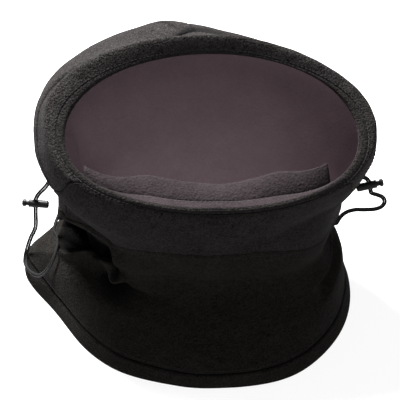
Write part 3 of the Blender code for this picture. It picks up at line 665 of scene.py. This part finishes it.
def steel(name, colour):
    mat = bpy.data.materials.new(name)
    mat.use_nodes = True
    tree = mat.node_tree
    shader = tree.nodes["Principled BSDF"]
    shader.inputs["Metallic"].default_value = 0.95
    link = tree.links.new
    where = node(tree, "ShaderNodeTexCoord")
    grain = node(tree, "ShaderNodeTexNoise", Scale=1100.0, Detail=4.0)
    link(where.outputs["Object"], grain.inputs["Vector"])
    rough = node(tree, "ShaderNodeMapRange")
    rough.inputs["To Min"].default_value = 0.2
    rough.inputs["To Max"].default_value = 0.45
    link(grain.outputs["Fac"], rough.inputs["Value"])
    link(rough.outputs["Result"], shader.inputs["Roughness"])
    tones = node(tree, "ShaderNodeValToRGB")
    tones.color_ramp.elements[0].color = (*[c * 0.75 for c in colour], 1.0)
    tones.color_ramp.elements[1].color = (*colour, 1.0)
    link(grain.outputs["Fac"], tones.inputs["Fac"])
    link(tones.outputs["Color"], shader.inputs["Base Color"])
    return mat


BLACK = fleece("black_fleece", (0.0190, 0.0172, 0.0168), (0.0012, 0.0010, 0.0010), sheen=0.012,
               bump=1.0, lumps=0.08, sheen_tint=(0.8, 0.78, 0.78), spread_of=(0.29, 0.55))
# painted light: a lighter copy of the black fleece for the crown and brim, standing in for the key light falling on
# the top of the hood
BLACK_PAINTED_LIGHT = fleece("black_fleece_painted_light", (0.031, 0.0283, 0.0278), (0.0012, 0.0010, 0.0010), sheen=0.015,
                   bump=1.2, lumps=0.08, sheen_tint=(0.8, 0.78, 0.78), spread_of=(0.31, 0.56))
# painted shade: a darker copy of the black fleece for the lower panels (hem, bib and neck), standing in for the
# shade of the hood above them
BLACK_PAINTED_SHADE = fleece("black_fleece_painted_shade", (0.0135, 0.0122, 0.0112), (0.0008, 0.0007, 0.0006), sheen=0.008,
                   bump=1.0, lumps=0.08, sheen_tint=(0.8, 0.78, 0.78), spread_of=(0.29, 0.55))
BLACK_EDGE = fleece("black_fleece_edge", (0.0105, 0.0098, 0.0097), (0.0028, 0.0026, 0.0026),
                    sheen=0.02, sheen_tint=(0.8, 0.78, 0.78))
# painted light: the lining colour is raised to stand in for the light that hardly reaches inside the hood
GREY_PAINTED_LIGHT = fleece("grey_fleece_painted_light", (0.232, 0.174, 0.193), (0.145, 0.107, 0.121), nap=0.0013, sheen=0.05)
# painted shade: the lining fabric darkened far below the lining colour for the facings near the opening, to offset
# the light that reaches them
FACING_PAINTED_SHADE = fleece("facing_fleece_painted_shade", (0.026, 0.0208, 0.0224), (0.006, 0.0047, 0.0051), nap=0.0014,
              bump=0.7, sheen=0.05)
BLACK_THREAD = thread("black_thread", (0.004, 0.004, 0.0041))
GREY_THREAD = thread("grey_thread", (0.03, 0.025, 0.027))
CORD = braid("cord_braid", (0.009, 0.0088, 0.009), (0.0015, 0.0015, 0.0015))
PLASTIC = moulded("lock_plastic", (0.0025, 0.0025, 0.0027))
STEEL = steel("bright_steel", (0.62, 0.63, 0.65))

# ===================================================================== camera
E = math.radians(35.0)
TARGET = to_scene((0, 0, 90.0))
DISTANCE = 0.889
camera_data = bpy.data.cameras.new("camera")
camera_data.lens = 100.0
camera_data.sensor_width = 36.0
camera_data.clip_start = 0.01
camera = bpy.data.objects.new("camera", camera_data)
bpy.context.scene.collection.objects.link(camera)
camera.location = Vector(TARGET) + Vector((0, -math.cos(E), math.sin(E))) * DISTANCE
camera.rotation_euler = (math.radians(90.0) - E, 0, 0)
bpy.context.scene.camera = camera

# ============================================================ cords and locks
CORD_D = 1.8
PAIR = 0.94
TAB_OUT, GAP = 3.6, 0.3


def unit(v):
    v = np.asarray(v, float)
    return v / np.linalg.norm(v)


def smooth_route(points, count):
    """Centripetal curve through the points, resampled to even steps."""
    p = [np.asarray(q, float) for q in points]
    p = [2 * p[0] - p[1]] + p + [2 * p[-1] - p[-2]]
    dense = []
    for i in range(1, len(p) - 2):
        a, b, c, d = p[i - 1:i + 3]
        t0 = 0.0
        t1 = t0 + math.sqrt(np.linalg.norm(b - a))
        t2 = t1 + math.sqrt(np.linalg.norm(c - b))
        t3 = t2 + math.sqrt(np.linalg.norm(d - c))
        for t in np.linspace(t1, t2, 25)[:-1]:
            a1 = (t1 - t) / (t1 - t0) * a + (t - t0) / (t1 - t0) * b
            a2 = (t2 - t) / (t2 - t1) * b + (t - t1) / (t2 - t1) * c
            a3 = (t3 - t) / (t3 - t2) * c + (t - t2) / (t3 - t2) * d
            b1 = (t2 - t) / (t2 - t0) * a1 + (t - t0) / (t2 - t0) * a2
            b2 = (t3 - t) / (t3 - t1) * a2 + (t - t1) / (t3 - t1) * a3
            dense.append((t2 - t) / (t2 - t1) * b1 + (t - t1) / (t2 - t1) * b2)
    dense.append(p[-2])
    dense = np.array(dense)
    along = np.concatenate([[0], np.cumsum(np.linalg.norm(np.diff(dense, axis=0), axis=1))])
    at = np.linspace(0, along[-1], count)
    return np.stack([np.interp(at, along, dense[:, k]) for k in range(3)], -1)


def strand(points, facing, side):
    n = len(points)
    at = np.linspace(0, 1, n)
    shares = [f[0] for f in facing]
    face = np.stack([np.interp(at, shares, [f[1][k] for f in facing]) for k in range(3)], -1)
    tangent = np.gradient(points, axis=0)
    across = np.cross(face, tangent)
    across /= np.linalg.norm(across, axis=1, keepdims=True)
    return points + across * side * PAIR


def cord_curve(name, points):
    data = bpy.data.curves.new(name, "CURVE")
    data.dimensions = "3D"
    data.bevel_depth = CORD_D / 2 * MM
    data.bevel_resolution = 4
    data.resolution_u = 5
    data.use_fill_caps = True
    line = data.splines.new("BEZIER")
    line.bezier_points.add(len(points) - 1)
    q = to_scene(points)
    slope = np.gradient(q, axis=0) / 3.0
    for i, bp in enumerate(line.bezier_points):
        bp.co = q[i]
        bp.handle_left_type = bp.handle_right_type = "FREE"
        bp.handle_left = q[i] - slope[i]
        bp.handle_right = q[i] + slope[i]
    line.use_smooth = True
    data.materials.append(CORD)
    obj = bpy.data.objects.new(name, data)
    bpy.context.scene.collection.objects.link(obj)
    # length of the bezier line itself
    total = 0.0
    t = np.linspace(0, 1, 25)[:, None]
    for i in range(len(q) - 1):
        a, b, c, d = q[i], q[i] + slope[i], q[i + 1] - slope[i + 1], q[i + 1]
        p = ((1 - t) ** 3 * a + 3 * (1 - t) ** 2 * t * b + 3 * (1 - t) * t ** 2 * c + t ** 3 * d)
        total += float(np.linalg.norm(np.diff(p, axis=0), axis=1).sum())
    return obj, total


def side_cords(side, foot, normal, end, out, before, lock, cord_down, straight, after,
               facing, count):
    foot, normal = np.array(foot), unit(normal)
    end, out = np.array(end), unit(out)
    down = unit(cord_down)
    lock = np.asarray(lock, float)
    tip = end + out * (1.4 + TAB_OUT + 2 * GAP)
    points = ([foot + normal * GAP, foot + normal * 4.0] + list(before)
              + [lock - down * straight[0], lock - down * straight[0] * 0.4,
                 lock + down * straight[1] * 0.4, lock + down * straight[1]]
              + list(after) + [tip + out * 3.5, tip])
    middle = smooth_route(points, count)
    for letter, way in (("a", 1), ("b", -1)):
        line = strand(middle, facing, way)
        obj, length = cord_curve("cord_%s_%s_braid" % (side, letter), line)
        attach(obj, "hood")
        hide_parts("cord_%s_%s" % (side, letter))


side_cords("left", (-112.50, 5.75, 111.35), (-0.9889, 0.0451, -0.1416),
           (-103.76, 23.26, 64.43), (-0.8124, -0.0875, 0.5765),
           before=[(-123.5, 9.5, 97.0), (-130.5, 12.5, 87.5)],
           lock=(-134.5, 15.0, 76.0), cord_down=(-0.10, 0.10, -0.99),
           straight=(4.5, 26.0),
           after=[(-142.5, 20.5, 37.0), (-147.5, 22.5, 22.0), (-149.0, 17.0, 14.5),
                  (-144.5, 6.0, 13.5), (-136.0, -6.0, 17.5), (-128.5, -15.0, 27.0),
                  (-121.5, -19.5, 39.0), (-117.0, -15.5, 49.0), (-115.8, -7.0, 55.5),
                  (-119.5, 2.0, 59.0)],
           facing=[(0.0, (0.1, 0.2, 1)), (0.14, (0, -1, 0)), (0.50, (0, -1, 0)),
                   (0.66, (-.7, -.5, .5)), (0.85, (-.9, -.4, .1)), (1.0, (-.4, -.1, 1))],
           count=40)
side_cords("right", (110.11, -3.90, 102.60), (0.9373, 0.0474, -0.3454),
           (100.69, 0.13, 68.72), (0.9519, -0.0668, -0.2991),
           before=[(120.5, 1.0, 108.5), (127.0, 0.0, 112.0)],
           lock=(134.6, 0.0, 104.3), cord_down=(0.272, 0, -0.962),
           straight=(5.4, 8.0),
           after=[(141.5, 0.0, 95.0), (147.0, 0.0, 91.5), (147.5, 0.0, 85.5),
                  (142.0, 0.0, 81.5), (133.0, 0.0, 80.5), (124.5, 0.5, 80.0),
                  (117.5, 0.8, 77.0), (113.0, 0.4, 72.0)],
           facing=[(0.0, (0.1, 0.2, 1)), (0.2, (0, -1, 0)), (0.8, (0, -1, 0)),
                   (1.0, (0, -1, 0))],
           count=22)

nodes["drawcord_hidden"].data.materials.clear()
nodes["drawcord_hidden"].data.materials.append(CORD)
for side in ("left", "right"):
    for part_name, mat in (("body", PLASTIC), ("plunger", PLASTIC), ("spring", STEEL)):
        mesh = nodes["lock_%s_%s" % (side, part_name)].data
        mesh.materials.clear()
        mesh.materials.append(mat)
    for node_name, mat in (("eyelet_" + side, STEEL), ("cord_tab_" + side, BLACK_EDGE)):
        nodes[node_name].data.materials.clear()
        nodes[node_name].data.materials.append(mat)

# each spring is copied into a mesh of its own on its lock, in place of the part's spring
for side, into in (("left", (0.994988, 0.010049, -0.099489)),
                   ("right", (-0.962275, 0.0, -0.272078))):
    spring = nodes["lock_%s_spring" % side]
    into = unit(into)
    corners = np.array([spring.matrix_world @ v.co for v in spring.data.vertices])
    coil_mesh = bpy.data.meshes.new("lock_%s_coil" % side)
    coil_mesh.from_pydata([tuple(c) for c in corners.tolist()], [],
                          [tuple(f.vertices) for f in spring.data.polygons])
    coil_mesh.polygons.foreach_set("use_smooth", [True] * len(coil_mesh.polygons))
    coil_mesh.materials.append(STEEL)
    coil = bpy.data.objects.new("lock_%s_coil" % side, coil_mesh)
    bpy.context.scene.collection.objects.link(coil)
    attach(coil, "lock_" + side)
    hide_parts("lock_%s_spring" % side)
    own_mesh(coil)

# ============================================================== fabric panels
ALL = dict(start=0, stop=360)


def finish_fabric(obj, replaced):
    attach(obj, "hood")
    if replaced:
        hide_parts(*replaced)
    if obj.name in CUT:
        wide, long_, area = CUT[obj.name]
        area = min(area, wide * long_)
    return obj


def hem_fat(a, v, base):
    """The turned-up hem is a little fuller than the single layer above it."""
    t = np.clip(v / HEM_V, 0, 1)
    return -0.7 * np.sin(np.pi * np.clip(t, 0.02, 0.98)) ** 0.6


# the lower panels take the darker copy of the black fleece (painted shade)
finish_fabric(fabric("hem", 0, 360, level(0), level(HEM_V), 0.0, DOUBLE, BLACK_PAINTED_SHADE,
                     seams=(0, 1, 0, 0), extra=hem_fat), ["hem_band"])
finish_fabric(fabric("bib", -BIB_SIDE, BIB_SIDE, level(HEM_V), chin_seam, 0.0, SHELL, BLACK_PAINTED_SHADE,
                     gap=.02, dips=(1, .3, 0, 0), step=1.15),
              ["bib_front"])
finish_fabric(fabric("neck", BIB_SIDE, 360 - BIB_SIDE, level(HEM_V), level(NAPE_V),
                     0.0, SHELL, BLACK_PAINTED_SHADE, gap=.02, dips=(1, .5, 0, 0), step=1.15), ["neck_back"])
finish_fabric(fabric("mask", -MASK_SIDE, MASK_SIDE, mask_foot, level(CHANNEL_V),
                     0.0, SHELL, BLACK, gap=.02, seams=(1, 0, 1, 1), dips=(.3, 0, .6, .6),
                     step=1.5),
              ["mask_front"])
# the crown and brim take the lighter copy of the black fleece (painted light)
finish_fabric(fabric("crown_l", 180, 360 - MASK_SIDE, level(NAPE_V), crown_seam,
                     0.0, SHELL, BLACK_PAINTED_LIGHT, gap=.02, dips=(1, 1, .6, .6)), ["crown_left"])
finish_fabric(fabric("crown_r", MASK_SIDE, 180, level(NAPE_V), crown_seam,
                     0.0, SHELL, BLACK_PAINTED_LIGHT, gap=.02, dips=(1, 1, .6, .6)), ["crown_right"])
finish_fabric(fabric("brim", MASK_SIDE, 360 - MASK_SIDE, crown_seam, level(CHANNEL_V),
                     0.0, SHELL, BLACK_PAINTED_LIGHT, gap=.02, seams=(1, 0, 1, 1)), ["brim_band"])


def lining_out(angle, v):
    return SHELL + 0.9 + lip_reach(angle) * ramp(v, 0.74, 0.94)


def lining_in(angle, v):
    return lining_out(angle, v) + LINING


def lining_top(angle):
    v = np.full(np.shape(angle), CHANNEL_V)
    return v - (0.2 + 0.55 * lip_reach(angle)) / frame_at(angle, v)[2]


# the linings take the lightened lining fleece (painted light)
finish_fabric(fabric("neck_lining", 0, 360, level(HEM_V), level(NAPE_V), lining_out, lining_in,
                     GREY_PAINTED_LIGHT, gap=.02, seams=(1, 1, 0, 0), dips=(0, 0, 0, 0), step=2.6, lined=True), ["lining_neck"])
finish_fabric(fabric("mask_lining", -MASK_SIDE, MASK_SIDE, level(NAPE_V), lining_top,
                     lining_out, lining_in, GREY_PAINTED_LIGHT, gap=.02, dips=(0, 0, 0, 0), step=2.6, lined=True), ["lining_mask"])
finish_fabric(fabric("hood_lining", MASK_SIDE, 360 - MASK_SIDE, level(NAPE_V), lining_top,
                     lining_out, lining_in, GREY_PAINTED_LIGHT, gap=.02, dips=(0, 0, 0, 0), step=2.6, lined=True), ["lining_hood"])


# ---------------------------------------------------- edge of the face opening
def edge_frame(angle):
    v = np.full(np.shape(angle), CHANNEL_V)
    v = v + 0.05 / frame_at(angle, v)[2]
    foot = surface(angle, v)
    tip = surface(angle, np.full(np.shape(angle), 1.0))
    normal, _, _ = frame_at(angle, v)
    # at the front the edge is turned in flat, so its depth runs level
    level_share = 1 - ramp(np.abs(turned(np.asarray(angle, float), 0)), 48, 84)
    normal = normal * np.stack([np.ones_like(level_share)] * 2 + [1 - 0.92 * level_share], -1)
    normal /= np.linalg.norm(normal, axis=-1, keepdims=True)
    reach = tip - foot
    along = reach - (reach * normal).sum(-1, keepdims=True) * normal
    size = np.linalg.norm(along, axis=-1)
    return foot, along / size[:, None], normal, size


def rounded(points, per=5):
    """A closed outline through the points, softened."""
    p = np.array(points, float)
    out = []
    n = len(p)
    for i in range(n):
        a, b, c, d = p[i - 1], p[i], p[(i + 1) % n], p[(i + 2) % n]
        for t in np.arange(per) / per:
            out.append(0.5 * ((2 * b) + (c - a) * t + (2 * a - 5 * b + 4 * c - d) * t * t
                              + (3 * b - a - 3 * c + d) * t ** 3))
    return np.array(out)


EDGE_OUT = (-2.5,)


def level_at(angle):
    return 1 - ramp(np.abs(turned(np.asarray(angle, float), 0)), 60, 130)


def ring_piece(name, section, mat, cols, closed, per=4):
    """Sweeps an outline (share along, depth) round the opening."""
    foot, along, normal, size = edge_frame(cols)
    deep = DOUBLE + lip_reach(cols)
    shift = 0.45 * soft_waves(foot)
    rows = []
    for k in range(len(cols)):
        outline = rounded(section(size[k] + EDGE_OUT[0] * (1 - level_at(cols[k])) + 2.0 * level_at(cols[k]), deep[k], cols[k]), per)
        rows.append(foot[k] + along[k] * outline[:, :1]
                    - normal[k] * (outline[:, 1:] - shift[k]))
    rows = np.array(rows)
    n, m = rows.shape[:2]
    faces = []
    last = n if closed else n - 1
    for k in range(last):
        j = (k + 1) % n
        for i in range(m):
            h = (i + 1) % m
            faces.append((k * m + i, j * m + i, j * m + h, k * m + h))
    if not closed:
        faces.append(tuple(range(m - 1, -1, -1))[::-1])
        faces.append(tuple((n - 1) * m + i for i in range(m))[::-1])
    return new_object(name, rows.reshape(-1, 3), faces, mat)


def black_edge(L, D, angle):
    return [(0, 0.0), (.35 * L, -0.55), (.7 * L, -0.5), (L - 1.2, -0.1), (L - .2, .55),
            (L - .1, 1.2), (L - .8, 1.7), (L - 2.0, 1.9), (.6 * L, 1.6), (.3 * L, 1.6),
            (0, 1.9)]


def grey_edge(L, D, angle):
    return [(0, 2.1), (.4 * L, 1.9), (L - 2.2, 2.2), (L - .75, 2.0), (L - .2, 2.8),
            (L - .1, D * .5 + .6), (L - .4, D - 1.4), (L - 1.4, D - .2), (.7 * L, D + .5),
            (.3 * L, D + .6), (0, D)]


RING = np.arange(300) * 1.2
finish_fabric(ring_piece("edge_fold", black_edge, BLACK, RING, True), [])
# the facing round the opening takes the darkened lining fleece (painted shade)
finish_fabric(ring_piece("edge_facing", grey_edge, FACING_PAINTED_SHADE, RING, True), ["face_channel"])

# ------------------------------------------------- facing inside the mask, in the darkened lining fleece (painted shade)
FLAP_SIDE_LEFT, FLAP_SIDE_RIGHT = -76.0, 72.0


def flap():
    cols = np.linspace(FLAP_SIDE_LEFT, FLAP_SIDE_RIGHT, 130)
    foot, along, normal, size = edge_frame(cols)
    deep = DOUBLE + lip_reach(cols)
    start = foot + along * (size * 0.8)[:, None] - normal * (deep + 0.7)[:, None]
    wide = 15.0 * (1 - 0.35 * ramp(np.abs(cols), 45, 75))
    rise = (6.5 + 10.5 * (np.maximum(cols, 0) / 72) ** 1.5
            + 6.5 * (np.maximum(-cols, 0) / 76) ** 1.5)
    stop = start - normal * wide[:, None] + np.stack([0 * rise, 0 * rise, rise], -1)
    t = np.linspace(0, 1, 12)[:, None, None]
    top = start[None] + (stop - start)[None] * t
    top[..., 2] += (1.3 * np.sin(np.pi * t[..., 0]) + 0.5 * soft_waves(top) * t[..., 0])
    top[0, :, 2] -= 0.8
    down = np.array([0, 0, -1.8])
    CUT["chin_facing"] = cut_size(top, False)
    return solid_between("chin_facing", top, top + down, False, FACING_PAINTED_SHADE)


finish_fabric(flap(), ["inner_flap"])

def band_out(angle, v):
    return lining_in(angle, v) + 0.3


def band_in(angle, v):
    return lining_in(angle, v) + 1.5


for band_name, band_from, band_to in (("side_facing_right", 68, 132), ("side_facing_left", 232, 290)):
    finish_fabric(fabric(band_name, band_from, band_to, level(.80), lining_top, band_out, band_in,
                         FACING_PAINTED_SHADE, gap=.02, dips=(0, 0, 0, 0), step=2.2, lined=True), [])


# =================================================================== stitches
def stitches(name, points, normals, mat, spacing=3.1, long_=2.3, wide=0.28, high=0.22,
             sink=0.0, share=1.0):
    """Separate short thread lengths lying along a line, as one mesh."""
    points, normals = np.asarray(points), np.asarray(normals)
    run = np.concatenate([[0], np.cumsum(np.linalg.norm(np.diff(points, axis=0), axis=1))])
    at = np.arange(spacing / 2, run[-1] - spacing / 2, spacing)
    ends = []
    for s in (-0.5, 0.5):
        q = np.stack([np.interp(at + s * long_, run, points[:, k]) for k in range(3)], -1)
        ends.append(q)
    n = np.stack([np.interp(at, run, normals[:, k]) for k in range(3)], -1)
    n /= np.linalg.norm(n, axis=1, keepdims=True)
    verts, faces = [], []
    ring = 6
    stops = np.array([0.0, 0.08, 0.3, 0.5, 0.7, 0.92, 1.0])
    fat = np.array([0.35, 0.75, 1.0, 1.0, 1.0, 0.75, 0.35])
    lift = np.array([-0.25, 0.0, 0.22, 0.3, 0.22, 0.0, -0.25])
    for a, b, up in zip(ends[0], ends[1], n):
        d = b - a
        length = np.linalg.norm(d)
        if length < 0.5:
            continue
        d = d / length
        side = np.cross(up, d)
        side /= np.linalg.norm(side)
        jitter = rng.normal(0, 0.05, 3)
        first = len(verts)
        for s, f, l in zip(stops, fat, lift):
            c = a + d * length * s + up * (l * 0.6 - sink) + jitter
            for i in range(ring):
                w = 2 * math.pi * i / ring
                verts.append(c + side * wide * f * math.cos(w) + up * high * f * math.sin(w))
        rows = len(stops)
        for j in range(rows - 1):
            for i in range(ring):
                h = (i + 1) % ring
                p0, p1 = first + j * ring + i, first + j * ring + h
                faces.append((p0, p1, p1 + ring, p0 + ring))
        faces.append(tuple(first + i for i in reversed(range(ring))))
        faces.append(tuple(first + (rows - 1) * ring + i for i in range(ring)))
    obj = new_object(name, verts, faces, mat)
    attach(obj, "hood")
    return obj


def surface_line(angles, heights, out=0.0, waves=0.45):
    angles, heights = np.broadcast_arrays(np.asarray(angles, float), np.asarray(heights, float))
    p = surface(angles, heights)
    n, _, _ = frame_at(angles, heights)
    return p + n * (out + waves * soft_waves(p))[..., None], n


def off_line(angle, height, mm):
    """Height that lies so many millimetres above the given one."""
    angle, height = np.broadcast_arrays(np.asarray(angle, float), np.asarray(height, float))
    return height + mm / frame_at(angle, height)[2]


turn = np.linspace(0, 360, 481)
p, n = surface_line(turn, off_line(turn, np.full(turn.shape, HEM_V), 3.2))
stitches("hem_stitches", p, n, BLACK_THREAD)
p, n = surface_line(turn, off_line(turn, np.full(turn.shape, HEM_V), -3.0), 0.4)
stitches("hem_stitches_low", p, n, BLACK_THREAD)
turn = np.linspace(-BIB_SIDE + 1, BIB_SIDE - 1, 200)
p, n = surface_line(turn, off_line(turn, chin_seam(turn), -3.2))
stitches("chin_stitches", p, n, BLACK_THREAD)
turn = np.linspace(MASK_SIDE + 1, 359 - MASK_SIDE, 300)
p, n = surface_line(turn, off_line(turn, crown_seam(turn), 3.0))
stitches("crown_stitches", p, n, BLACK_THREAD)
turn = np.linspace(0, 360, 481)
p, n = surface_line(turn, off_line(turn, np.full(turn.shape, CHANNEL_V), -1.2), 0.15)
stitches("channel_stitches", p, n, BLACK_THREAD)


def facing_line(cols, share_along, depth):
    foot, along, normal, size = edge_frame(cols)
    deep = DOUBLE + lip_reach(cols)
    s = (size + 2.0) * share_along[0] + share_along[1]
    p = foot + along * s[:, None] - normal * (deep * depth[0] + depth[1])[:, None]
    return p, along


cols = np.linspace(-66, 62, 240)
p, n = facing_line(cols, (1.0, -0.15), (1.0, -2.6))
stitches("facing_stitches", p, n, GREY_THREAD)

# ================================================================ floor, light
def soft_floor():
    size = 6.0
    mesh = bpy.data.meshes.new("floor")
    mesh.from_pydata([(-size, -size, -0.0006), (size, -size, -0.0006),
                      (size, size, -0.0006), (-size, size, -0.0006)], [], [(0, 1, 2, 3)])
    obj = bpy.data.objects.new("floor", mesh)
    bpy.context.scene.collection.objects.link(obj)
    mat = bpy.data.materials.new("floor")
    mat.use_nodes = True
    shader = mat.node_tree.nodes["Principled BSDF"]
    shader.inputs["Base Color"].default_value = (0.22, 0.22, 0.22, 1)
    shader.inputs["Roughness"].default_value = 0.9
    set_input(shader, "Emission Color", (1.0, 1.0, 1.0, 1.0))
    set_input(shader, "Emission Strength", 0.86)
    mesh.materials.append(mat)
    return obj


soft_floor()

world = bpy.data.worlds.new("studio")
bpy.context.scene.world = world
world.use_nodes = True
background = world.node_tree.nodes["Background"]
background.inputs["Color"].default_value = (1.0, 1.0, 1.0, 1)
background.inputs["Strength"].default_value = 0.35


def area_light(name, place, aim, size, power):
    data = bpy.data.lights.new(name, "AREA")
    data.shape = "SQUARE"
    data.size = size
    data.energy = power
    obj = bpy.data.objects.new(name, data)
    bpy.context.scene.collection.objects.link(obj)
    obj.location = place
    obj.rotation_euler = (Vector(aim) - Vector(place)).to_track_quat("-Z", "Y").to_euler()
    return obj


area_light("key", (-0.32, 0.42, 1.16), (0, 0, 0.15), 0.35, 112.0)
area_light("fill", (0.3, -1.2, 1.0), (0, 0, 0.1), 0.6, 5.0)

scene = bpy.context.scene
scene.view_settings.view_transform = "Standard"
scene.view_settings.look = "None"
scene.view_settings.exposure = 0.0
scene.view_settings.gamma = 1.0
